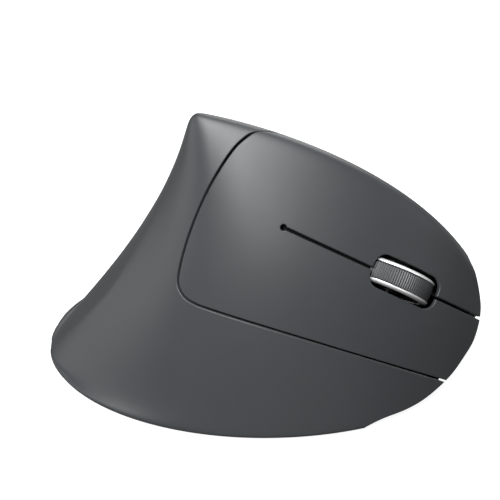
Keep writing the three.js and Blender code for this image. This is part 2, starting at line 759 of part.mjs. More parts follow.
function thumbSwitch([y, z]) {
  const body = solid(boxAt([-9, SIDE_BOARD_X - 0.1], [y - 3, y + 3], [z - 3, z + 3]));
  return body.subtract(rodX([-12, -7.6], [y, z], 1.5));
}

function thumbPlunger(centre) {
  return rodX([-9.8, -8.2], centre, 1.3);
}

function mainBoard() {
  const { x, y, z } = MAIN_BOARD;
  const board = solid(boxAt(x, y, [z, z + BOARD_THICKNESS]));
  return board.subtract(solid(rodZ(...SENSOR_AT, 0, 9, 2.2, 16)));
}

const onMainBoard = MAIN_BOARD.z + BOARD_THICKNESS + 0.1;

function sensorLens() {
  const [x, y] = SENSOR_AT;
  const flange = solid(boxAt([x - 6, x + 6], [y - 5, y + 5], [FLOOR_TOP + 0.2, MAIN_BOARD.z - 0.2]));
  return flange.add(solid(rodZ(x, y, 1.7, FLOOR_TOP + 0.5, 2.6, 20)));
}

function sensorLed() {
  const profile = [v2(0, 0), v2(1.7, 0), v2(1.7, 0.8), v2(1.5, 0.8), v2(1.5, 4), v2(1.1, 4.9), v2(0, 5.4)];
  const [x, y] = SENSOR_AT;
  return new THREE.LatheGeometry(profile, 16).rotateX(Math.PI).translate(x, y + 12.6, onMainBoard + 1.9);
}

function capacitor() {
  const profile = [v2(0, 0), v2(2.5, 0), v2(2.5, 5.4), v2(2.3, 5.8), v2(0, 5.8)];
  return new THREE.LatheGeometry(profile, 18).rotateX(Math.PI / 2).translate(6, -8, onMainBoard);
}

function ribbonCable() {
  const path = new THREE.CatmullRomCurve3([
    v3(8, 17, onMainBoard), v3(8, 17, 9), v3(8, 18.2, 12.5), v3(8, 20.6, 15.4), v3(8, 22, 17.4),
  ]);
  const strip = new THREE.Shape([v2(-0.2, -2.5), v2(0.2, -2.5), v2(0.2, 2.5), v2(-0.2, 2.5)]);
  return new THREE.ExtrudeGeometry(strip, { extrudePath: path, steps: 14, bevelEnabled: false });
}

// ---- power ----

function batteryTray() {
  const [x, z] = BATTERY_AT;
  const arch = (radius, low) => {
    const shape = new THREE.Shape();
    shape.moveTo(-radius, low - z);
    shape.lineTo(radius, low - z);
    shape.absarc(0, 0, radius, 0, Math.PI);
    return shape;
  };
  const along = (shape, y) => {
    const geometry = plate(shape, -y[1], -y[0], 8);
    return solid(geometry.rotateX(Math.PI / 2).translate(x, 0, z));
  };
  const outside = along(arch(TRAY_RADIUS + TRAY_WALL, FLOOR_TOP + 0.1), TRAY_SPAN);
  const inside = along(arch(TRAY_RADIUS, -5), [TRAY_SPAN[0] + TRAY_WALL, TRAY_SPAN[1] - TRAY_WALL]);
  return outside.subtract(inside);
}

function battery() {
  const [x, z] = BATTERY_AT;
  const length = BATTERY_SPAN[1] - BATTERY_SPAN[0];
  const profile = [
    v2(0, 0), v2(4, 0), v2(4.4, 0.4), v2(6.9, 0.4), v2(BATTERY_RADIUS, 0.7), v2(BATTERY_RADIUS, length - 1.8),
    v2(6.8, length - 1.4), v2(2.75, length - 1.4), v2(2.7, length - 0.1), v2(0, length),
  ];
  return new THREE.LatheGeometry(profile, 18).translate(x, BATTERY_SPAN[0], z);
}

function batterySpring() {
  const [x, z] = BATTERY_AT;
  const start = TRAY_SPAN[0] + TRAY_WALL + 0.5;
  const end = BATTERY_SPAN[0] - 0.5;
  const turns = 2.5;
  const points = [];
  for (let i = 0; i <= 20; i += 1) {
    const t = i / 20;
    const angle = 2 * Math.PI * turns * t;
    const radius = 4.6 - 2 * t;
    points.push(v3(x + radius * Math.cos(angle), start + (end - start) * t, z + radius * Math.sin(angle)));
  }
  const wire = new THREE.Shape().absarc(0, 0, 0.3, 0, 2 * Math.PI);
  const path = new THREE.CatmullRomCurve3(points);
  return new THREE.ExtrudeGeometry(wire, { extrudePath: path, steps: 32, bevelEnabled: false, curveSegments: 3 });
}

function batteryContact() {
  const [x, z] = BATTERY_AT;
  const front = TRAY_SPAN[1] - TRAY_WALL - 0.15;
  const strip = plate(roundedRect(9, 8, 1), 0, 0.5).rotateX(Math.PI / 2).translate(x, front, z);
  return strip;
}

function powerSwitchBody() {
  const [x, y] = POWER_AT;
  const body = solid(boxAt([x - 3, x + 3], [y - 5.5, y + 5.5], [FLOOR_TOP + 0.1, 7]));
  return body.subtract(solid(boxAt([x - 1.7, x + 1.7], [y - 3.7, y + 3.7], [2, 4.5])));
}

function powerSwitchKnob() {
  const [x, y] = POWER_AT;
  const middle = y - POWER_TRAVEL / 2;
  let knob = solid(boxAt([x - 1.4, x + 1.4], [middle - 1.9, middle + 1.9], [1, 4.2]));
  for (const offset of [-1.2, -0.2, 0.8]) {
    knob = knob.subtract(solid(boxAt([x - 2, x + 2], [middle + offset, middle + offset + 0.4], [0, 1.3])));
  }
  return knob;
}

// ---- assembly ----

const mouse = new THREE.Group();
mouse.name = "computer_mouse";

const FINISH = {
  softTouch: { color: 0x4a4d50, roughness: 0.62, metalness: 0 },
  darkPlastic: { color: 0x1d1e20, roughness: 0.6, metalness: 0 },
  glide: { color: 0x2b2c2e, roughness: 0.35, metalness: 0 },
  chrome: { color: 0xd8dade, roughness: 0.12, metalness: 1 },
  steel: { color: 0xa9acb0, roughness: 0.35, metalness: 1 },
  rubber: { color: 0x2f3133, roughness: 0.85, metalness: 0 },
  ivory: { color: 0xd9d5c9, roughness: 0.5, metalness: 0 },
  circuit: { color: 0x1e5a34, roughness: 0.5, metalness: 0 },
  chip: { color: 0x17181a, roughness: 0.45, metalness: 0 },
  clear: { color: 0xdfe6ea, roughness: 0.08, metalness: 0 },
  red: { color: 0xb3261e, roughness: 0.2, metalness: 0 },
  cell: { color: 0x8a6d2f, roughness: 0.4, metalness: 0.3 },
  cable: { color: 0xb9bcc0, roughness: 0.6, metalness: 0 },
};

function addPart(name, shape, finish) {
  const raw = shape.isBufferGeometry ? shape : toGeometry(shape);
  const indexed = raw.clone();
  indexed.deleteAttribute("normal");
  indexed.deleteAttribute("uv");
  const geometry = toCreasedNormals(mergeVertices(indexed, 1e-4), 0.6);
  const mesh = new THREE.Mesh(geometry, new THREE.MeshStandardMaterial(FINISH[finish]));
  mesh.name = name;
  mouse.add(mesh);
}

addPart("palm_shell", palmShell(), "softTouch");
addPart("thumb_shell", thumbShell(), "softTouch");
addPart("front_bezel", frontBezel(), "darkPlastic");
addPart("button_panel", buttonPanel(), "softTouch");
addPart("left_button", clickButton(1), "softTouch");
addPart("right_button", clickButton(-1), "softTouch");
addPart("base_plate", basePlate(), "darkPlastic");
addPart("battery_door", batteryDoor(), "darkPlastic");
for (const [corner, at] of Object.entries(FEET)) {
  addPart(`foot_${corner}`, foot(at), "glide");
}
for (const [corner, at] of Object.entries(SCREWS)) {
  addPart(`screw_${corner}`, screw(at), "steel");
}
for (const [name, centre] of Object.entries(THUMB_BUTTONS)) {
  addPart(`${name}_button`, thumbButton(centre), "darkPlastic");
  addPart(`${name}_switch`, thumbSwitch(centre), "chip");
  addPart(`${name}_plunger`, thumbPlunger(centre), "ivory");
}
addPart("wheel_hub", wheelHub().transform(wheelFrame.elements), "darkPlastic");
addPart("wheel_tyre", wheelTyre().applyMatrix4(wheelFrame), "rubber");
addPart("wheel_rim_upper", wheelRim(1).applyMatrix4(wheelFrame), "chrome");
addPart("wheel_rim_lower", wheelRim(-1).applyMatrix4(wheelFrame), "chrome");
const axle = rodY(0, [-AXLE_HALF, AXLE_HALF], -WHEEL_DEPTH, AXLE_RADIUS);
addPart("wheel_axle", axle.applyMatrix4(wheelFrame), "steel");
addPart("wheel_cradle", wheelCradle().transform(wheelFrame.elements), "darkPlastic");
addPart("cradle_pin", rodY(PIVOT[0], [-8.6, 8.6], PIVOT[1], AXLE_RADIUS).applyMatrix4(wheelFrame), "steel");
addPart("detent_spring", detentSpring().applyMatrix4(wheelFrame), "steel");
const emitter = boxAt([5, 8], [7, 9.6], [BOARD_TOP + 0.1, -7.4]);
addPart("ir_emitter", emitter.applyMatrix4(wheelFrame), "clear");
const detector = boxAt([5, 8], [-9.6, -7], [BOARD_TOP + 0.1, -7.4]);
addPart("ir_detector", detector.applyMatrix4(wheelFrame), "chip");
addPart("button_board", buttonBoard(), "circuit");
addPart("board_bracket", boardBracket(), "darkPlastic");
addPart("left_switch", clickSwitch(1), "chip");
addPart("left_plunger", clickPlunger(1).applyMatrix4(wheelFrame), "ivory");
addPart("right_switch", clickSwitch(-1), "chip");
addPart("right_plunger", clickPlunger(-1).applyMatrix4(wheelFrame), "ivory");
addPart("middle_switch", middleSwitch().transform(wheelFrame.elements), "chip");
addPart("middle_plunger", middlePlunger().applyMatrix4(wheelFrame), "ivory");
addPart("side_board", sideBoard(), "circuit");
addPart("main_board", mainBoard(), "circuit");
addPart("sensor_lens", sensorLens(), "clear");
const [sensorX, sensorY] = SENSOR_AT;
const chipTop = onMainBoard + 2;
addPart("sensor_chip", boxAt([sensorX - 4.5, sensorX + 4.5], [sensorY - 5, sensorY + 5],
  [onMainBoard, chipTop]), "chip");
addPart("sensor_led", sensorLed(), "red");
addPart("controller_chip", boxAt([14, 21], [-12.5, -5.5], [onMainBoard, onMainBoard + 1]), "chip");
addPart("capacitor", capacitor(), "steel");
addPart("ribbon_cable", ribbonCable(), "cable");
addPart("battery_tray", batteryTray(), "darkPlastic");
addPart("battery", battery(), "cell");
addPart("battery_spring", batterySpring(), "steel");
addPart("battery_contact", batteryContact(), "steel");
addPart("power_switch_body", powerSwitchBody(), "chip");
addPart("power_switch_knob", powerSwitchKnob(), "ivory");

export default mouse;
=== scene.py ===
"""Looks of the vertical mouse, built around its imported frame. Lengths are in millimetres until a mesh is
made. The body's outer surface is written as a point for each (t, s). t runs along the crest, 0 to 1 up the
rear edge and 1 to 2 forward, and s runs from the right rim over the crest to the left rim."""
import json
import math

import bpy
import numpy as np
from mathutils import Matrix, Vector
from mathutils.geometry import delaunay_2d_cdt
from mathutils.kdtree import KDTree


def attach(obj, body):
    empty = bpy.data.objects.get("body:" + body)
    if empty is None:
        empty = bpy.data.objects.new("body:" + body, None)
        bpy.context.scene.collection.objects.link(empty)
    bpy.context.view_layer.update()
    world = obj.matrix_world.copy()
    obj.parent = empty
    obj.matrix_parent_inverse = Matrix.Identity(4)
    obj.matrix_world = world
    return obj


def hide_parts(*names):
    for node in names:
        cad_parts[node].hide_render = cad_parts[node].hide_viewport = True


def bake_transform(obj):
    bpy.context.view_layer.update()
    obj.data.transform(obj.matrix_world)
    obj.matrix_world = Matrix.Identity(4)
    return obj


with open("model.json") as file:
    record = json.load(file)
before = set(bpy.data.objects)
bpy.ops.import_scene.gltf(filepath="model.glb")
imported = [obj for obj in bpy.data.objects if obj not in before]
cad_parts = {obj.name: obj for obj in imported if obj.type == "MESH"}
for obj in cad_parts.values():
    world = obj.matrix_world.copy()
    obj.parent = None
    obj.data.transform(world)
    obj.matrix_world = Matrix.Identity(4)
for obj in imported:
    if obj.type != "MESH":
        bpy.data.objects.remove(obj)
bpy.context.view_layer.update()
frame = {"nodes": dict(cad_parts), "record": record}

MM = 0.001

# ---- body surface ----

# Footprint: half of an ellipse to the rear and half to the front
HALF_WIDTH = 38
REACH_REAR = 62.9
REACH_FRONT = 65
UNDERSIDE = 0.8
REAR_EDGE = np.array([[0, -62.8, 1.2], [-3, -57.9, 9.7], [-14, -28.1, 34.8], [-20.5, -20.9, 72]])
TOP_EDGE = np.array([[-20.5, -20.9, 73], [-14, 5.5, 72.6], [-6.5, 52.6, 58.1], [-4, 66, 17]])
RIM_POINTS = ((0.8, 0), (0, 0.5), (0.5, 1.6))
# How far the corner between the two crest curves is eased, from the rim up to the crest itself
EASE_RIM = 0.55
EASE_FACE = [0.5, 0.44, 0.34, 0.2]
EASE_SHOULDER = 0.06
EASE_NOSE = 0.03
# Control points of each side as shares of its width and height, on the body and at the tail
FINGER_SIDE = [[0.915, 0.13], [0.74, 0.37], [0.5, 0.645], [0.23, 0.865]]
FINGER_TAIL = [[0.86, 0.12], [0.66, 0.4], [0.45, 0.72], [0.25, 0.93]]
THUMB_SIDE = [[0.16, 0.78], [0.1, 0.5], [0.36, 0.27], [0.8, 0.17]]
THUMB_TAIL = [[0.25, 0.93], [0.45, 0.72], [0.66, 0.4], [0.86, 0.12]]

# Lines drawn on the finger face, in the panel plane: p forward, q up the face
PANEL_TILT = math.radians(42)
SLOT_TILT = math.radians(-24.5)
SEAM = [[-1.6, 63.3], [-8, 57.9], [-14.2, 48.7], [-18.7, 39.5], [-22.2, 29.9], [-24.2, 21],
        [-23.1, 16.8], [-20.1, 14.2], [-13, 11.6], [15.1, 3], [44, -6], [60, -11.2]]
FRONT_EDGE = [[20, -26.8], [32.3, -20], [41.2, -16.6], [47.3, -13.2], [53.8, -7.7], [58.2, -2.2],
              [61.8, 3.6], [63.6, 12], [61.9, 21.5], [59.8, 26.3], [58.2, 30.1], [57.2, 38]]
SEAM_GAP = 0.6
SEAM_TOP = 61.6
SLOT_GAP = 0.9
SLOT_START = np.array([5.6, 35.4])
SLOT_REACH = 64
SPLIT_REACH = 40
BEHIND_SPLIT = 30
DOT_RADIUS = 0.9
# The finger side laps over the crest: by a length along the top, by a share of the thumb side at the tail
CREST_LAP = 2.4
TAIL_LAP = 0.6
LAP_GAP = 0.6
WHEEL_AT = [40.2, 20.2]
WHEEL_OPENING = [22.2, 10]
OPENING_SHIFT = 0.4
OPENING_CORNER = 3.4
THUMB_BUTTONS = {"back_button": [1.5, 53.5], "forward_button": [18, 46.8]}
THUMB_BUTTON_SIZE = [15, 6.5]
THUMB_BUTTON_CORNER = 2.4
THUMB_BUTTON_TILT = math.radians(-22)
THUMB_BUTTON_GAP = 0.3
THUMB_BUTTON_PROUD = 0.8
WALL = 1.7
BUTTON_WALL = 1.2


def bezier(points, t):
    t = t[..., None]
    u = 1 - t
    return u**3 * points[0] + 3 * u * u * t * points[1] + 3 * u * t * t * points[2] + t**3 * points[3]


def crest(t):
    rear = bezier(REAR_EDGE, np.clip(t, 0, 1))
    top = bezier(TOP_EDGE, np.clip(t - 1, 0, 1))
    return np.where((t < 1)[..., None], rear, top)


def eased_crest(t, ease):
    """The crest with its corner at t = 1 eased over a reach on each side."""
    step = 1e-3
    before, start, end, after = crest(np.array([1 - ease - step, 1 - ease, 1 + ease, 1 + ease + step]))
    handle = 2 * ease / 3 / step
    bridge = [start, start + (start - before) * handle, end - (after - end) * handle, end]
    eased = bezier(bridge, np.clip((t - 1 + ease) / (2 * ease), 0, 1))
    return np.where((abs(t - 1) < ease)[..., None], eased, crest(t))


def smooth(low, high, value):
    t = np.clip((value - low) / (high - low), 0, 1)
    return t * t * (3 - 2 * t)


def station(t, ease):
    """Crest point, half width of the footprint, and how far into the tail, 1 to 0."""
    x, y, z = np.moveaxis(eased_crest(t, ease), -1, 0)
    top = np.maximum(z, UNDERSIDE + 0.2)
    reach = np.where(y < 0, REACH_REAR, REACH_FRONT)
    width = HALF_WIDTH * np.sqrt(np.maximum(1 - (y / reach) ** 2, 0.0006))
    return x, y, top, width, 1 - smooth(-60, -24, y)


def controls(t):
    """Control points of the cross-sections at each t, right rim to left rim. The four points of a side are
    eased in turn, so that the corner of the crest fades into the faces."""
    _, y, top, width, _ = station(t, EASE_RIM)
    rim = np.minimum(1, top / 6)
    right = [(width - a * rim, y, UNDERSIDE + b * rim) for a, b in RIM_POINTS]
    left = [(-px, py, pz) for px, py, pz in reversed(right)]
    for i in range(4):
        x, y, top, width, tail = station(t, EASE_FACE[i])
        out = FINGER_SIDE[i][0] + (FINGER_TAIL[i][0] - FINGER_SIDE[i][0]) * tail
        up = FINGER_SIDE[i][1] + (FINGER_TAIL[i][1] - FINGER_SIDE[i][1]) * tail
        right.append((x + out * (width - x), y, UNDERSIDE + up * (top - UNDERSIDE)))
        k = 3 - i
        out = THUMB_SIDE[k][0] + (THUMB_TAIL[k][0] - THUMB_SIDE[k][0]) * tail
        up = THUMB_SIDE[k][1] + (THUMB_TAIL[k][1] - THUMB_SIDE[k][1]) * tail
        left.insert(0, (x - out * (x + width), y, UNDERSIDE + up * (top - UNDERSIDE)))
    x, y, top, width, tail = station(t, EASE_SHOULDER)
    reach = np.minimum(2.4 + 8 * tail * np.minimum(1, width / 20), 0.3 * width)
    reaches = [(sign, np.minimum(reach, 0.2 * (width - sign * x))) for sign in (1, -1)]
    shoulders = [(x + sign * out, y, top - 0.12 * out) for sign, out in reaches]
    x, y, top, _, _ = station(t, EASE_NOSE)
    rows = right + [shoulders[0], (x, y, top), shoulders[1]] + left
    return np.stack([np.stack(np.broadcast_arrays(*row), -1) for row in rows], -2)


def surface(t, s):
    """Points of the outer surface: a cubic B-spline across the control points at each t."""
    t = np.atleast_1d(np.asarray(t, float))
    s = np.atleast_1d(np.asarray(s, float))
    rows = controls(np.clip(t, 0, 2))
    first = 2 * rows[:, :1] - rows[:, 1:2]
    last = 2 * rows[:, -1:] - rows[:, -2:-1]
    rows = np.concatenate([first, rows, last], 1)
    spans = rows.shape[1] - 3
    u = np.clip(s, 0, 1) * spans
    i = np.minimum(u.astype(int), spans - 1)
    f = (u - i)[:, None]
    basis = [
        (1 - f) ** 3 / 6,
        (3 * f**3 - 6 * f**2 + 4) / 6,
        (-3 * f**3 + 3 * f**2 + 3 * f + 1) / 6,
        f**3 / 6,
    ]
    n = np.arange(len(i))
    return sum(weight * rows[n, i + k] for k, weight in enumerate(basis))


def normals_at(t, s):
    h = 2e-4
    along = surface(np.clip(t + h, 0, 2), s) - surface(np.clip(t - h, 0, 2), s)
    around = surface(t, np.clip(s + h, 0, 1)) - surface(t, np.clip(s - h, 0, 1))
    return unit(np.cross(along, around))


def unit(v):
    return v / np.maximum(np.linalg.norm(v, axis=-1, keepdims=True), 1e-12)


# ---- finding a place on the surface from a flat view of one side ----


def panel_view(points):
    x, y, z = points.T
    return np.stack([y, z * math.cos(PANEL_TILT) - x * math.sin(PANEL_TILT)], 1)


def side_view(points):
    return points[:, 1:]


class Chart:
    """Turns points of a flat view into (t, s) on part of the surface."""

    def __init__(self, view, s_low, s_high):
        t, s = np.meshgrid(np.linspace(0, 2, 301), np.linspace(s_low, s_high, 121), indexing="ij")
        self.view = view
        self.range = (s_low, s_high)
        self.places = np.stack([t.ravel(), s.ravel()], 1)
        flat = view(surface(*self.places.T))
        self.tree = KDTree(len(flat))
        for i, (a, b) in enumerate(flat):
            self.tree.insert((a, b, 0), i)
        self.tree.balance()

    def locate(self, targets):
        targets = np.asarray(targets, float)
        place = self.places[[self.tree.find((a, b, 0))[1] for a, b in targets]].copy()
        h = 1e-4
        for _ in range(12):
            here = self.view(surface(*place.T))
            dt = (self.view(surface(place[:, 0] + h, place[:, 1])) - here) / h
            ds = (self.view(surface(place[:, 0], place[:, 1] + h)) - here) / h
            miss = targets - here
            det = dt[:, 0] * ds[:, 1] - dt[:, 1] * ds[:, 0]
            det = np.where(abs(det) < 1e-9, 1e-9, det)
            step = np.stack([miss[:, 0] * ds[:, 1] - miss[:, 1] * ds[:, 0],
                             dt[:, 0] * miss[:, 1] - dt[:, 1] * miss[:, 0]], 1) / det[:, None]
            place += np.clip(step, -0.03, 0.03)
            place[:, 0] = np.clip(place[:, 0], 0, 1.9999)
            place[:, 1] = np.clip(place[:, 1], *self.range)
        return place


finger = Chart(panel_view, 0.02, 0.5)
thumb = Chart(side_view, 0.52, 0.85)


def face_frame(p, q):
    """Axes standing on the finger face: along the slot, across it and outward."""
    reach = 1.5
    spots = [[p + reach, q], [p - reach, q], [p, q + reach], [p, q - reach], [p, q]]
    around = surface(*finger.locate(spots).T)
    forward, upward = around[0] - around[1], around[2] - around[3]
    outward = unit(np.cross(forward, upward))
    along = forward * math.cos(SLOT_TILT) + upward * math.sin(SLOT_TILT)
    along = unit(along - outward * (along @ outward))
    return around[4], np.array([along, np.cross(outward, along), outward])


wheel_at, wheel_axes = face_frame(*WHEEL_AT)


def wheel_view(points):
    return ((points - wheel_at) @ wheel_axes.T)[:, :2]


# ---- outlines ----


def resample(points, step):
    points = np.asarray(points, float)
    lengths = np.concatenate([[0], np.cumsum(np.linalg.norm(np.diff(points, axis=0), axis=1))])
    count = max(int(round(lengths[-1] / step)), 1)
    at = np.linspace(0, lengths[-1], count + 1)
    return np.stack([np.interp(at, lengths, points[:, k]) for k in range(points.shape[1])], 1)


def spline(points, step):
    """Catmull-Rom curve through points, at even steps."""
    p = np.asarray(points, float)
    p = np.vstack([2 * p[0] - p[1], p, 2 * p[-1] - p[-2]])
    t = np.linspace(0, 1, 25)[:-1, None]
    out = []
    for a, b, c, d in zip(p, p[1:], p[2:], p[3:]):
        square, cube = (2 * a - 5 * b + 4 * c - d) * t**2, (3 * b - a - 3 * c + d) * t**3
        out.append(0.5 * (2 * b + (c - a) * t + square + cube))
    return resample(np.vstack(out + [p[-2:-1]]), step)


def offset(points, distance):
    """A line shifted to its left."""
    tangent = unit(np.gradient(points, axis=0))
    return points + distance * np.stack([-tangent[:, 1], tangent[:, 0]], 1)


def rounded_rect(length, width, corner, step):
    out = []
    for k, (sx, sy) in enumerate(((1, 1), (-1, 1), (-1, -1), (1, -1))):
        centre = np.array([sx * (length / 2 - corner), sy * (width / 2 - corner)])
        angle = np.radians(np.linspace(0, 90, 13) + 90 * k)
        out.append(centre + corner * np.stack([np.cos(angle), np.sin(angle)], 1))
    out = np.vstack(out)
    return resample(np.vstack([out, out[:1]]), step)[:-1]


# The outlines are laid out flat as (u, v), about one millimetre of surface to the unit
U_REAR, U_TOP, V_SPAN = 85, 105, 190


def to_uv(place):
    t, s = place[:, 0], place[:, 1]
    return np.stack([np.where(t < 1, U_REAR * t, U_REAR + U_TOP * (t - 1)), V_SPAN * s], 1)


def from_uv(uv):
    u, v = uv[:, 0], uv[:, 1]
    t = np.where(u < U_REAR, u / U_REAR, 1 + (u - U_REAR) / U_TOP)
    return np.stack([np.clip(t, 0, 2), np.clip(v / V_SPAN, 0, 1)], 1)


def inside(polygon, points):
    """Even-odd test of points against a closed polygon."""
    result = np.zeros(len(points), bool)
    x, y = points[:, 0], points[:, 1]
    for (x0, y0), (x1, y1) in zip(polygon, np.roll(polygon, -1, axis=0)):
        if y0 == y1:
            continue
        crosses = (y0 > y) != (y1 > y)
        result ^= crosses & (x < (x1 - x0) * (y - y0) / (y1 - y0) + x0)
    return result


STEP = 0.6


def front_line(setback):
    """Where the front edge cuts the surface, one t for each s."""
    edge = spline(FRONT_EDGE, 0.3)
    s = np.linspace(0, 1, 331)
    low, high = np.full(len(s), 1.05), np.full(len(s), 2.0)
    for _ in range(40):
        middle = (low + high) / 2
        p, q = panel_view(surface(middle, s)).T
        keep = p < np.interp(q, edge[:, 1], edge[:, 0]) - setback
        low, high = np.where(keep, middle, low), np.where(keep, high, middle)
    return np.stack([low, s], 1)


def lap_line(extra):
    """A line on the thumb side just below the crest, further down where the tail flattens."""
    t = np.linspace(0, 2, 401)
    fine = np.linspace(0.5, 0.86, 145)
    s = []
    for value in t:
        ring = surface(np.full(len(fine), value), fine)
        run = np.concatenate([[0], np.cumsum(np.linalg.norm(np.diff(ring, axis=0), axis=1))])
        tail = 1 - smooth(0.05, 0.75, value)
        down = min(CREST_LAP, 0.3 * run[-1]) * (1 - tail) + TAIL_LAP * run[-1] * tail
        s.append(np.interp(down + extra * min(1, run[-1] / 12), run, fine))
    return resample(to_uv(np.stack([t, s], 1)), STEP)


def slot_points(across):
    along = np.arange(0, SLOT_REACH, STEP)
    cos, sin = math.cos(SLOT_TILT), math.sin(SLOT_TILT)
    return SLOT_START + np.stack([along * cos - across * sin, along * sin + across * cos], 1)


front = resample(to_uv(front_line(0)), STEP)
rim_right = resample([[0, 0], front[0]], 1.2)
rim_left = resample([front[-1], [0, V_SPAN]], 1.2)
tail_end = resample([[0, V_SPAN], [0, 0]], 4)
border = np.vstack([rim_right[:-1], front[:-1], rim_left[:-1], tail_end[:-1]])

seam = spline(SEAM, STEP)
# Outlines that only have to reach past the crest or the front edge are carried on to these
V_OVER = V_SPAN * 0.6
U_BEYOND = 250


def seam_side(shift):
    line = offset(seam, shift)
    line = to_uv(finger.locate(line[line[:, 1] < SEAM_TOP]))
    run = line[0] - line[2]
    return np.vstack([resample([line[0] + run * (V_OVER - line[0][1]) / run[1], line[0]], STEP)[:-1], line])


seam_middle = seam_side(0)
seam_outline = np.vstack([seam_side(-SEAM_GAP / 2), seam_side(SEAM_GAP / 2)[::-1]])
panel_outline = np.vstack([seam_middle, [[U_BEYOND, seam_middle[-1, 1]], [U_BEYOND, V_OVER]]])
slot_sides = np.vstack([slot_points(-SLOT_GAP / 2), slot_points(SLOT_GAP / 2)[::-1]])
slot_outline = to_uv(finger.locate(slot_sides))
circle = np.radians(np.arange(0, 360, 18))
dot_outline = to_uv(finger.locate(SLOT_START + DOT_RADIUS * np.stack([np.cos(circle), np.sin(circle)], 1)))
opening_chart = Chart(wheel_view, 0.1, 0.46)
opening = rounded_rect(*WHEEL_OPENING, OPENING_CORNER, 0.5) + [OPENING_SHIFT, 0]
opening_outline = to_uv(opening_chart.locate(opening))

# Behind the slot the two buttons are one moulding, parted along a line from the slot back to the seam
split_run = np.arange(0, SPLIT_REACH, STEP)[:, None] * [math.cos(SLOT_TILT), math.sin(SLOT_TILT)]
split_line = to_uv(finger.locate(SLOT_START - split_run))
split_line = split_line[: np.argmin(inside(panel_outline, split_line)) + 1]
slot_middle = to_uv(finger.locate(slot_points(0)))
behind_split = split_line[-1] - [BEHIND_SPLIT, 0]
upper_outline = np.vstack([
    split_line[::-1],
    slot_middle[1:],
    [[U_BEYOND, slot_middle[-1, 1]], [U_BEYOND, V_OVER], [behind_split[0], V_OVER], behind_split + [0, 1.5]],
])
lap_low, lap_high = lap_line(0), lap_line(LAP_GAP)


def thumb_outline(centre, grow):
    length, width = THUMB_BUTTON_SIZE
    flat = rounded_rect(length + 2 * grow, width + 2 * grow, THUMB_BUTTON_CORNER + grow, STEP)
    cos, sin = math.cos(THUMB_BUTTON_TILT), math.sin(THUMB_BUTTON_TILT)
    turned = np.stack([flat[:, 0] * cos - flat[:, 1] * sin, flat[:, 0] * sin + flat[:, 1] * cos], 1)
    return to_uv(thumb.locate(turned + centre))


thumb_holes = {name: thumb_outline(at, THUMB_BUTTON_GAP) for name, at in THUMB_BUTTONS.items()}
thumb_caps = {name: thumb_outline(at, 0) for name, at in THUMB_BUTTONS.items()}

# ---- one flat triangulation of the whole skin, cut along every outline ----


def uneven(low, high, fine_at, fine, coarse):
    """Positions whose spacing shrinks near some places."""
    out = [low]
    while out[-1] < high:
        near = min(max(abs(out[-1] - place) - reach, 0) for place, reach in fine_at)
        out.append(out[-1] + min(coarse, fine + near * 0.25))
    return np.array(out[:-1])


U_SPACING = (0.55, 2.1)
V_SPACING = (0.6, 2.3)
CLEAR_OF_OUTLINES = 0.62


def triangulate():
    """The outlines and a grid between them, finer near the crest, the rims and both ends of the rear edge."""
    closed = [border, seam_outline, slot_outline, dot_outline, opening_outline]
    closed += list(thumb_holes.values()) + list(thumb_caps.values())
    opened = [split_line, lap_low, lap_high]
    fixed, edges = [], []
    for line in closed + opened:
        start = len(fixed)
        fixed.extend(line)
        edges.extend((start + i, start + i + 1) for i in range(len(line) - 1))
        if not any(line is other for other in opened):
            edges.append((start + len(line) - 1, start))
    fixed = np.array(fixed)
    u = uneven(0.7, U_REAR + U_TOP, [(U_REAR, 3), (0, 1)], *U_SPACING)
    v = uneven(0.9, V_SPAN, [(V_SPAN * 0.5, 4), (0, 5), (V_SPAN, 5)], *V_SPACING)
    grid = np.stack(np.meshgrid(u, v, indexing="ij"), -1).reshape(-1, 2)
    grid = grid[inside(border, grid)]
    tree = KDTree(len(fixed))
    for i, (a, b) in enumerate(fixed):
        tree.insert((a, b, 0), i)
    tree.balance()
    grid = grid[[tree.find((a, b, 0))[2] > CLEAR_OF_OUTLINES for a, b in grid]]
    points = [Vector(p) for p in np.vstack([fixed, grid])]
    verts, _, faces, *_ = delaunay_2d_cdt(points, edges, [], 0, 1e-5, False)
    uv = np.array([list(p) for p in verts])
    tris = np.array([list(f) for f in faces])
    a, b, c = uv[tris[:, 0]], uv[tris[:, 1]], uv[tris[:, 2]]
    area = (b - a)[:, 0] * (c - a)[:, 1] - (b - a)[:, 1] * (c - a)[:, 0]
    tris[area < 0] = tris[area < 0][:, ::-1]
    return uv, tris[abs(area) > 1e-7]


def label_triangles(uv, tris):
    """The part each triangle belongs to, or an empty name where the skin is open."""
    centre = uv[tris].mean(1)
    label = np.full(len(tris), "palm", dtype=object)
    panel = inside(panel_outline, centre)
    label[panel] = "lower"
    label[panel & inside(upper_outline, centre)] = "upper"
    for hole in (seam_outline, slot_outline, dot_outline, opening_outline):
        label[inside(hole, centre)] = ""
    for line, name in ((lap_low, ""), (lap_high, "thumb")):
        label[centre[:, 1] > np.interp(centre[:, 0], line[:, 0], line[:, 1])] = name
    for name in THUMB_BUTTONS:
        label[inside(thumb_holes[name], centre)] = ""
        label[inside(thumb_caps[name], centre)] = name
    label[~inside(border, centre)] = ""
    return label


uv, triangles = triangulate()
labels = label_triangles(uv, triangles)
places = from_uv(uv)
points = surface(*places.T)
normals = normals_at(*places.T)

# ---- closed skins with rounded edges ----

ROUND_ANGLES = np.radians([0, 22.5, 45, 67.5, 90])
TAIL_THINNING = 0.25


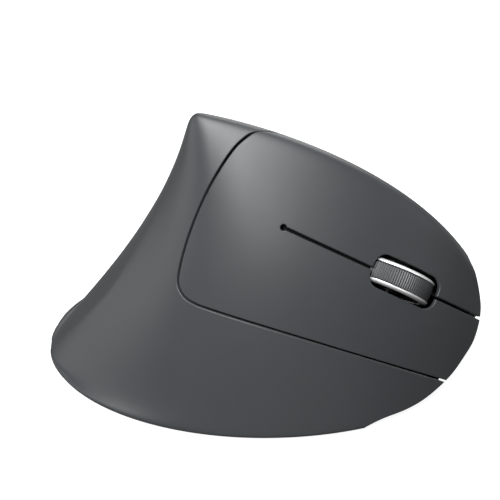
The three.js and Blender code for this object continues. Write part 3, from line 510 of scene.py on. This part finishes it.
def mesh_piece(name, verts, faces, finish, smooth_shaded=False, corner_normals=None):
    """An object from points in millimetres."""
    mesh = bpy.data.meshes.new(name)
    mesh.from_pydata([tuple(np.asarray(v) * MM) for v in verts], [], faces)
    if smooth_shaded:
        mesh.shade_smooth()
    if corner_normals is not None:
        mesh.normals_split_custom_set([tuple(n) for n in corner_normals])
    mesh.update()
    mesh.materials.append(finish)
    piece = bpy.data.objects.new(name, mesh)
    bpy.context.scene.collection.objects.link(piece)
    return piece


def stacked_solid(name, rings, finish):
    """A closed solid with flat ends, from loops of points stacked in order."""
    count = len(rings[0])
    last = count * (len(rings) - 1)
    faces = [tuple(range(count)), tuple(last + j for j in reversed(range(count)))]
    for i in range(len(rings) - 1):
        for j in range(count):
            a, b = count * i + j, count * i + (j + 1) % count
            faces.append((a, a + count, b + count, b))
    return mesh_piece(name, [p for ring in rings for p in ring], faces, finish)


def build_skins(parts, radius, wall, lift, finish):
    """Solids for the labels in parts, {label: piece name}, which share an unrounded edge where they meet.
    The wall thins where the body tapers down to its tail."""
    height = eased_crest(places[:, 0], EASE_FACE[0])[:, 2] - UNDERSIDE
    depth = np.minimum(wall, TAIL_THINNING * height)[:, None]
    radius = np.minimum(radius, 0.4 * depth)
    tris = triangles[np.isin(labels, list(parts))]
    part_of = labels[np.isin(labels, list(parts))]
    owner = {}
    for tri, part in zip(tris, part_of):
        for k in range(3):
            owner[(tri[k], tri[(k + 1) % 3])] = part
    rim = {(a, b) for (a, b) in owner if (b, a) not in owner}
    on_rim = {a for edge in rim for a in edge}
    outward = np.zeros_like(points)
    for a, b in rim:
        side = unit(np.cross(points[b] - points[a], normals[a]))
        outward[a] += side
        outward[b] += side
    outward = unit(outward)
    here = points + normals * lift
    levels = []
    for angle in ROUND_ANGLES:
        levels.append(here + radius * (outward * (math.sin(angle) - 1) - normals * (1 - math.cos(angle))))
    levels.append(here - normals * depth)
    for level in levels:
        level[:, 2] = np.maximum(level[:, 2], UNDERSIDE)
    bend = [normals * math.cos(a) + outward * math.sin(a) for a in ROUND_ANGLES]
    count = len(ROUND_ANGLES)
    made = {}
    for part, name in parts.items():
        faces, loops = [], []
        mine = tris[part_of == part]
        for tri in mine:
            faces.append([(0, i) for i in tri])
            loops.extend(normals[i] for i in tri)
            faces.append([(count, i) for i in tri[::-1]])
            loops.extend(-normals[i] for i in tri[::-1])
            for k in range(3):
                a, b = tri[k], tri[(k + 1) % 3]
                if (a, b) in rim:
                    for level in range(count):
                        faces.append([(level, b), (level, a), (level + 1, a), (level + 1, b)])
                        low = bend[level + 1] if level + 1 < count else outward
                        loops.extend([bend[level][b], bend[level][a], low[a], low[b]])
                elif owner.get((b, a)) != part:
                    down = range(count + 1) if a in on_rim else (0, count)
                    up = range(count, -1, -1) if b in on_rim else (count, 0)
                    faces.append([(level, a) for level in down] + [(level, b) for level in up])
                    flat = unit(np.cross(levels[0][b] - levels[0][a], normals[a]))
                    loops.extend([flat] * len(faces[-1]))
        index, verts = {}, []
        numbered = []
        for face in faces:
            row = []
            for key in face:
                if key not in index:
                    index[key] = len(verts)
                    verts.append(levels[key[0]][key[1]])
                row.append(index[key])
            numbered.append(row)
        made[part] = mesh_piece(name, verts, numbered, finish, True, loops)
    return made


# ---- materials ----

GRAIN_DEPTH = 0.05


def material(name, colour, rough, *, metallic=0, grain=0.0, grain_size=0.25, tone=0.12, tone_size=8,
             rough_spread=0.08, sheen=0.0, coat=0.0, specular=0.5, transmission=0.0):
    """A shader whose colour and roughness drift slightly over the surface, with a fine moulded grain.
    Sizes are in millimetres."""
    made = bpy.data.materials.new(name)
    made.use_nodes = True
    tree = made.node_tree
    shader = tree.nodes["Principled BSDF"]
    shader.inputs["Metallic"].default_value = metallic
    shader.inputs["Specular IOR Level"].default_value = specular
    shader.inputs["Sheen Weight"].default_value = sheen
    shader.inputs["Sheen Roughness"].default_value = 0.45
    shader.inputs["Coat Weight"].default_value = coat
    shader.inputs["Coat Roughness"].default_value = 0.2
    shader.inputs["Transmission Weight"].default_value = transmission
    shader.inputs["IOR"].default_value = 1.5
    where = tree.nodes.new("ShaderNodeTexCoord").outputs["Object"]

    def noise(size, detail):
        node = tree.nodes.new("ShaderNodeTexNoise")
        node.inputs["Scale"].default_value = 1 / (size * MM)
        node.inputs["Detail"].default_value = detail
        tree.links.new(where, node.inputs["Vector"])
        return node.outputs["Fac"]

    def remap(value, low, high):
        node = tree.nodes.new("ShaderNodeMapRange")
        node.inputs["From Min"].default_value = 0.3
        node.inputs["From Max"].default_value = 0.7
        node.inputs["To Min"].default_value = low
        node.inputs["To Max"].default_value = high
        tree.links.new(value, node.inputs["Value"])
        return node.outputs["Result"]

    drift, fine = noise(tone_size, 3), noise(grain_size, 2)
    ramp = tree.nodes.new("ShaderNodeMix")
    ramp.data_type = "RGBA"
    ramp.inputs["A"].default_value = [c * (1 - tone) for c in colour] + [1]
    ramp.inputs["B"].default_value = [min(c * (1 + tone), 1) for c in colour] + [1]
    blend = tree.nodes.new("ShaderNodeMath")
    blend.operation = "ADD"
    tree.links.new(remap(drift, 0, 0.6), blend.inputs[0])
    tree.links.new(remap(fine, 0, 0.4), blend.inputs[1])
    tree.links.new(blend.outputs[0], ramp.inputs["Factor"])
    tree.links.new(ramp.outputs["Result"], shader.inputs["Base Color"])
    tree.links.new(remap(fine, rough - rough_spread, rough + rough_spread), shader.inputs["Roughness"])
    if grain:
        bump = tree.nodes.new("ShaderNodeBump")
        bump.inputs["Strength"].default_value = grain
        bump.inputs["Distance"].default_value = GRAIN_DEPTH * MM
        tree.links.new(fine, bump.inputs["Height"])
        tree.links.new(bump.outputs["Normal"], shader.inputs["Normal"])
    return made


SOFT = (0.0225, 0.0247, 0.027)
finishes = {
    "soft_touch": material("soft_touch", SOFT, 0.45, grain=0.25, grain_size=0.18, tone=0.05, sheen=0.08,
                           specular=0.45, rough_spread=0.05),
    "dark_plastic": material("dark_plastic", (0.012, 0.0125, 0.0135), 0.5, grain=0.5, grain_size=0.3),
    # Painted shade: near-black and dull, for the strips under the gaps, standing in for the shadow inside
    # them
    "gap_shade_black": material("gap_shade_black", (0.004, 0.004, 0.0045), 0.7, grain=0.5, grain_size=0.3,
                            specular=0.12),
    "glide": material("glide", (0.03, 0.03, 0.032), 0.32, grain=0.15, grain_size=0.6, tone=0.2),
    "steel": material("steel", (0.55, 0.56, 0.58), 0.28, metallic=1, grain=0.1, grain_size=0.4, tone=0.08),
    # Painted shade: steel darkened for the axle, which sits in the shade of the wheel opening
    "axle_shade_steel": material("axle_shade_steel", (0.04, 0.04, 0.043), 0.45, metallic=1, grain=0.1,
                            grain_size=0.4),
    "switch_black": material("switch_black", (0.012, 0.012, 0.013), 0.3, grain=0.15),
    "chip": material("chip", (0.015, 0.015, 0.016), 0.55, grain=0.4, grain_size=0.12),
    "ivory": material("ivory", (0.68, 0.65, 0.56), 0.4, grain=0.1, tone=0.05),
    "tyre_rubber": material("tyre_rubber", (0.03, 0.031, 0.033), 0.5, grain=0.3, grain_size=0.12),
    # Partly painted reflection: the rims are only 0.6 metallic, so their pale diffuse share keeps them bright
    # where a full mirror would show the dark surroundings
    "chrome": material("chrome", (0.95, 0.95, 0.96), 0.3, metallic=0.6, rough_spread=0.03, tone=0.03),
    "circuit": material("circuit", (0.008, 0.03, 0.016), 0.3, tone=0.35, tone_size=2.2, coat=0.3),
    "clear": material("clear", (0.85, 0.9, 0.92), 0.08, transmission=0.9, tone=0.03, rough_spread=0.03),
    "led_red": material("led_red", (0.45, 0.02, 0.015), 0.12, coat=0.5, tone=0.1, rough_spread=0.03),
    "cable_grey": material("cable_grey", (0.5, 0.51, 0.53), 0.5, tone=0.1, tone_size=0.5),
    "battery_sleeve": material("battery_sleeve", (0.25, 0.16, 0.05), 0.3, metallic=0.6, tone=0.15,
                               coat=0.4),
}

slots = {row["node"]: row["material_slot"] for row in frame["record"]["subparts"]}
for node, thing in frame["nodes"].items():
    thing.data.materials.clear()
    # The axle gets the darkened steel as painted shade, so it shows no glint inside the wheel opening
    thing.data.materials.append(finishes["axle_shade_steel" if node == "wheel_axle" else slots[node]])

# ---- skins ----

EDGE = 0.28
CAP_EDGE = 0.6
BEND_LENGTH = 8
palm = build_skins({"palm": "palm_skin"}, EDGE, WALL, 0, finishes["soft_touch"])["palm"]
thumb_piece = build_skins({"thumb": "thumb_skin"}, EDGE, WALL, 0, finishes["soft_touch"])["thumb"]
panel = build_skins({"upper": "left_button_skin", "lower": "right_button_skin"}, EDGE, BUTTON_WALL, 0,
                    finishes["soft_touch"])
caps = {name: build_skins({name: f"{name}_cap"}, CAP_EDGE, WALL + THUMB_BUTTON_PROUD, THUMB_BUTTON_PROUD,
                          finishes["dark_plastic"])[name] for name in THUMB_BUTTONS}

for piece, nodes in ((palm, ["palm_shell"]), (thumb_piece, ["thumb_shell"])):
    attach(piece, "housing")
    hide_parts(*nodes)
bend_start = surface(*finger.locate([SLOT_START]).T)[0]
bend_end = bend_start + BEND_LENGTH * face_frame(*SLOT_START)[1][0]
for part, body, nodes in (("upper", "left_button", ["button_panel", "left_button"]),
                          ("lower", "right_button", ["right_button"])):
    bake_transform(panel[part])
    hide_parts(*nodes)
for name, piece in caps.items():
    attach(piece, name)
    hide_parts(name)

# ---- scroll wheel ----

WHEEL_DEPTH = 8.7
WHEEL_RADIUS = 12
SEAT_RADIUS = 9.75
TYRE_HALF = 2.5
TYRE_RIBS = 104
RIB_STEPS = 4
RIB_HEIGHT = 0.28
RIM_GAP = 0.15
RIM_HALF = 3.65
RIM_STEPS = 144


def grid_solid(name, rings, finish):
    """A ring-shaped sweep from closed rows of points, with smooth shading."""
    rows, columns = len(rings), len(rings[0])
    verts = [p for ring in rings for p in ring]
    faces = []
    for i in range(rows):
        for j in range(columns):
            a, b = i * columns + j, i * columns + (j + 1) % columns
            c, d = (i + 1) % rows * columns + (j + 1) % columns, (i + 1) % rows * columns + j
            faces.append((a, b, c, d))
    return mesh_piece(name, verts, faces, finish, True)


def on_wheel(angle, radius, across):
    """A point given about the wheel's axle."""
    local = np.array([radius * math.cos(angle), across, radius * math.sin(angle) - WHEEL_DEPTH])
    return wheel_at + local @ wheel_axes


def rounded_profile(corners):
    """Outline through corners (radius, across, rounding)."""
    out = []
    for k, (r, y, rounding) in enumerate(corners):
        here = np.array([r, y])
        before, after = np.array(corners[k - 1][:2]), np.array(corners[(k + 1) % len(corners)][:2])
        start, end = here + rounding * unit(before - here), here + rounding * unit(after - here)
        for f in np.linspace(0, 1, 5):
            out.append((1 - f) ** 2 * start + 2 * f * (1 - f) * here + f * f * end)
    return out


def wheel_ring(name, corners, count, ribs, finish):
    """A ring about the axle. Its outermost points rise and fall around it by the height of the ribs."""
    profile = rounded_profile(corners)
    rings = []
    for i in range(count):
        angle = 2 * math.pi * i / count
        dip = ribs if i % RIB_STEPS >= RIB_STEPS / 2 else 0
        rings.append([on_wheel(angle, r - dip * smooth(WHEEL_RADIUS - 1.2, WHEEL_RADIUS - 0.5, r), y)
                      for r, y in profile])
    return grid_solid(name, rings, finish)


def add_wheel():
    top = WHEEL_RADIUS
    tyre = wheel_ring("ribbed_tyre", [
        (SEAT_RADIUS, -TYRE_HALF, 0.1), (top - 0.25, -TYRE_HALF, 0.35), (top, 0, 1.6),
        (top - 0.25, TYRE_HALF, 0.35), (SEAT_RADIUS, TYRE_HALF, 0.1),
    ], RIB_STEPS * TYRE_RIBS, RIB_HEIGHT, finishes["tyre_rubber"])
    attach(tyre, "scroll_wheel")
    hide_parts("wheel_tyre")
    for name, side in (("upper", 1), ("lower", -1)):
        inner = TYRE_HALF + RIM_GAP
        corners = [
            (SEAT_RADIUS, inner, 0.1), (top - 0.05, inner, 0.15), (top - 0.2, inner + 0.5, 0.25),
            (top - 0.9, RIM_HALF - 0.1, 0.4), (top - 1.5, RIM_HALF, 0.2), (SEAT_RADIUS, RIM_HALF, 0.1),
        ]
        corners = [(r, side * y, rounding) for r, y, rounding in corners][::side]
        rim = wheel_ring(f"chrome_rim_{name}", corners, RIM_STEPS, 0, finishes["chrome"])
        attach(rim, "scroll_wheel")
        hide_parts(f"wheel_rim_{name}")


# ---- dark lips under the slot and the seam, near-black as painted shade in the gaps ----

LIP_THICKNESS = 0.4
LIP_WIDTH = 3.2
REAR_LIP_DEPTH = 2.4
FRONT_LIP_DEPTH = 2.9
PAST_OPENING_REAR = 1.9
PAST_OPENING_FRONT = 1.5
SLOT_LIP_STEPS = 22
SEAM_LIP_STEPS = 18


def add_lip(name, line, depth):
    """A strip that follows a line on the surface from underneath, near-black and dull as painted shade seen
    through the gap.
    """
    place = from_uv(line)
    centre, out = surface(*place.T), normals_at(*place.T)
    tangent = unit(np.gradient(centre, axis=0))
    across = unit(np.cross(out, tangent)) * LIP_WIDTH / 2
    top, bottom = centre - out * depth, centre - out * (depth + LIP_THICKNESS)
    rings = np.stack([top - across, top + across, bottom + across, bottom - across], 1)
    piece = stacked_solid(name, rings, finishes["gap_shade_black"])
    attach(piece, "housing")


# ---- wall that closes the front, set back behind the buttons ----

FRONT_SETBACK = 3
FRONT_WALL = 2
UNDER_BUTTONS = 3.6
UNDER_SHELLS = 2.1
UNDER_CREST = 1.2
FRONT_LEVELS = 36
FRONT_COLUMNS = 9


def add_front_wall():
    """Level rows between the finger face and the thumb face, stacked into one closed wall. Each side
    follows the inside of the body, and runs straight down from where the body turns under."""
    line = front_line(FRONT_SETBACK)
    points, out = surface(*line.T), normals_at(*line.T)
    under_buttons = inside(panel_outline, to_uv(line))
    points = points - out * np.where(under_buttons, UNDER_BUTTONS, UNDER_SHELLS)[:, None]
    top = int(np.argmax(points[:, 2]))
    upright = out[:, 2] > -0.2
    sides = [points[:top + 1][upright[:top + 1]], points[top:][upright[top:]][::-1]]
    for side in sides:
        side[:, 2] = np.maximum.accumulate(side[:, 2])
    back = np.array([0, FRONT_WALL, 0])
    levels = np.linspace(UNDERSIDE + 0.1, points[top, 2] - UNDER_CREST, FRONT_LEVELS)
    rings = []
    for z in levels:
        ends = [np.array([np.interp(z, edge[:, 2], edge[:, k]) for k in range(3)]) for edge in sides]
        a, b = (np.array([x, y, z]) for x, y, _ in ends)
        row = [a + (b - a) * f for f in np.linspace(0, 1, FRONT_COLUMNS)]
        rings.append(row + [p - back for p in row[::-1]])
    piece = stacked_solid("front_wall", rings, finishes["dark_plastic"])
    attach(piece, "housing")
    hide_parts("front_bezel")


add_wheel()
add_front_wall()
opening_half = WHEEL_OPENING[0] / 2
to_wheel = np.linalg.norm(np.array(WHEEL_AT) - SLOT_START)
opening_rear = int((to_wheel - opening_half + PAST_OPENING_REAR) / STEP)
opening_front = int((to_wheel + opening_half + PAST_OPENING_FRONT) / STEP)
seam_end = len(seam_middle) - np.argmax(inside(border, seam_middle)[::-1])
add_lip("slot_lip_rear", slot_middle[:opening_rear], REAR_LIP_DEPTH)
add_lip("slot_lip_front", slot_middle[opening_front:opening_front + SLOT_LIP_STEPS], FRONT_LIP_DEPTH)
add_lip("seam_lip", seam_middle[seam_end - SEAM_LIP_STEPS:seam_end], FRONT_LIP_DEPTH)

# ---- stage, camera and light ----

CAMERA_ANGLES = (90.16, 42.42)
CAMERA_TARGET = (0, -3.8, 39.05)
CAMERA_DISTANCE = 0.62
PIXELS_PER_METRE = 3510
IMAGE_WIDTH = 500
SENSOR_WIDTH = 36
FLOOR_HALF = 3000
FLOOR_GREY = 0.3
FLOOR_GLOW = 0.92
SKY_STRENGTH = 0.09
LIGHT_TARGET = (0, 0, 0.03)
# Name, azimuth, elevation, distance, size, power
LIGHTS = [
    ("key", 60, 68, 0.5, (0.32, 0.32), 5.8),
    ("rear", 0, 12, 0.6, (0.4, 0.4), 1.2),
    ("front", 170, 28, 0.6, (0.5, 0.12), 0.35),
    ("thumb", 252, 35, 0.6, (0.4, 0.4), 3),
    ("low", 95, 5, 0.6, (0.5, 0.08), 0.3),
]


def floor_material():
    """Pale and softly glowing, so that the object casts next to no shadow on it."""
    made = bpy.data.materials.new("floor_white")
    made.use_nodes = True
    sockets = made.node_tree.nodes["Principled BSDF"].inputs
    sockets["Base Color"].default_value = (FLOOR_GREY, FLOOR_GREY, FLOOR_GREY, 1)
    sockets["Roughness"].default_value = 0.9
    sockets["Emission Color"].default_value = (1, 1, 1, 1)
    sockets["Emission Strength"].default_value = FLOOR_GLOW
    return made


def add_floor():
    """A wide floor, left out of reflections and bounced light."""
    corners = [(x * FLOOR_HALF, y * FLOOR_HALF, 0) for x, y in ((-1, -1), (1, -1), (1, 1), (-1, 1))]
    floor = mesh_piece("floor", corners, [(0, 1, 2, 3)], floor_material())
    floor.visible_glossy = False
    floor.visible_diffuse = False


def view_direction(azimuth, elevation):
    az, el = math.radians(azimuth), math.radians(elevation)
    return Vector((math.sin(az) * math.cos(el), -math.cos(az) * math.cos(el), math.sin(el)))


def aim(thing, target):
    thing.rotation_euler = (Vector(target) - thing.location).to_track_quat("-Z", "Y").to_euler()


def add_camera():
    data = bpy.data.cameras.new("camera")
    camera = bpy.data.objects.new("camera", data)
    bpy.context.scene.collection.objects.link(camera)
    target = Vector(CAMERA_TARGET) * MM
    camera.location = target + view_direction(*CAMERA_ANGLES) * CAMERA_DISTANCE
    aim(camera, target)
    data.sensor_width = SENSOR_WIDTH
    data.lens = SENSOR_WIDTH * CAMERA_DISTANCE * PIXELS_PER_METRE / IMAGE_WIDTH
    data.clip_start = 0.01
    bpy.context.scene.camera = camera


def add_light(name, azimuth, elevation, distance, size, power):
    data = bpy.data.lights.new(name, "AREA")
    data.shape = "RECTANGLE"
    data.size, data.size_y = size
    data.energy = power
    light = bpy.data.objects.new(name, data)
    bpy.context.scene.collection.objects.link(light)
    light.location = view_direction(azimuth, elevation) * distance
    aim(light, LIGHT_TARGET)


def add_sky():
    world = bpy.data.worlds.new("studio")
    world.use_nodes = True
    world.node_tree.nodes["Background"].inputs["Color"].default_value = (1, 1, 1, 1)
    world.node_tree.nodes["Background"].inputs["Strength"].default_value = SKY_STRENGTH
    bpy.context.scene.world = world


add_floor()
add_camera()
for light in LIGHTS:
    add_light(*light)
add_sky()
bpy.context.scene.view_settings.view_transform = "Standard"
